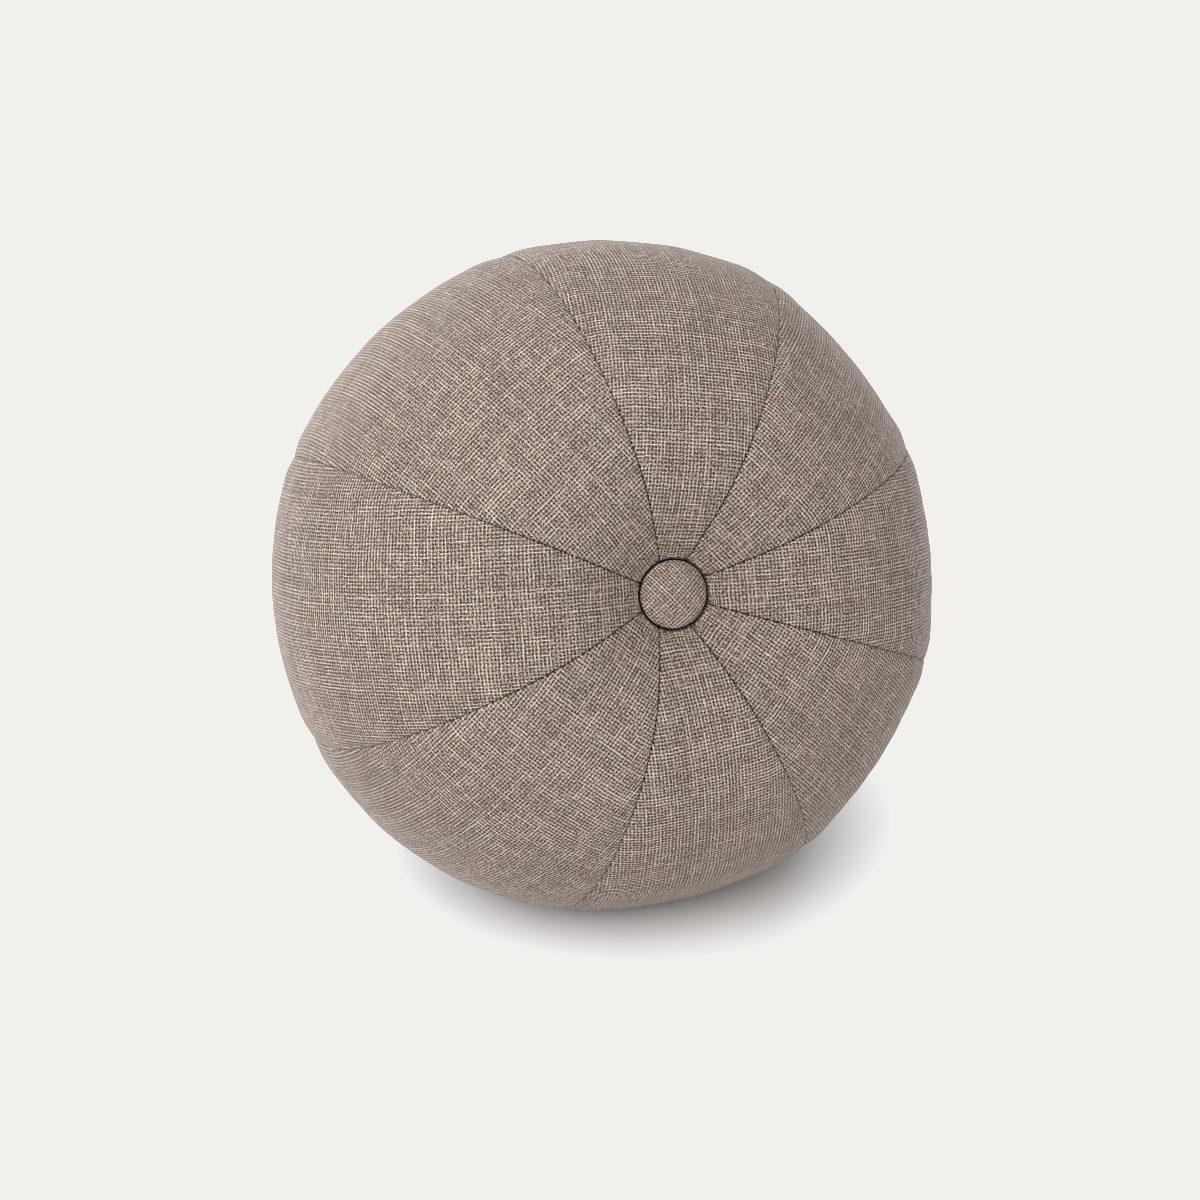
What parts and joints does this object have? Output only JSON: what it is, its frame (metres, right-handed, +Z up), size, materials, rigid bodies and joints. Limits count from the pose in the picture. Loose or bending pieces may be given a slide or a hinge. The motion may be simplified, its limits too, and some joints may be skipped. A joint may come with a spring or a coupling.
{
  "type": "ball cushion",
  "caption": "Round ball cushion sewn from cloth gores, with a domed covered button at the front and back, for a sofa, bed or chair.",
  "frame": {"origin": "on the floor, at the centre of the flat spot's level under the middle of the ball's box", "axes": "+Z up from the floor; the front button looks towards -Y, turned a little to +X and tilted up"},
  "size_m": [0.2986, 0.2705, 0.2918],
  "materials": {
    "gore_cloth": "linen-look plain weave, pale and dark yarns, matt",
    "button_cloth": "the same linen-look weave drawn over a domed button, matt"
  },
  "bodies": {
    "root": {"ball_cover": "gore_cloth", "front_button": "button_cloth", "back_button": "button_cloth"}
  },
  "joints": []
}
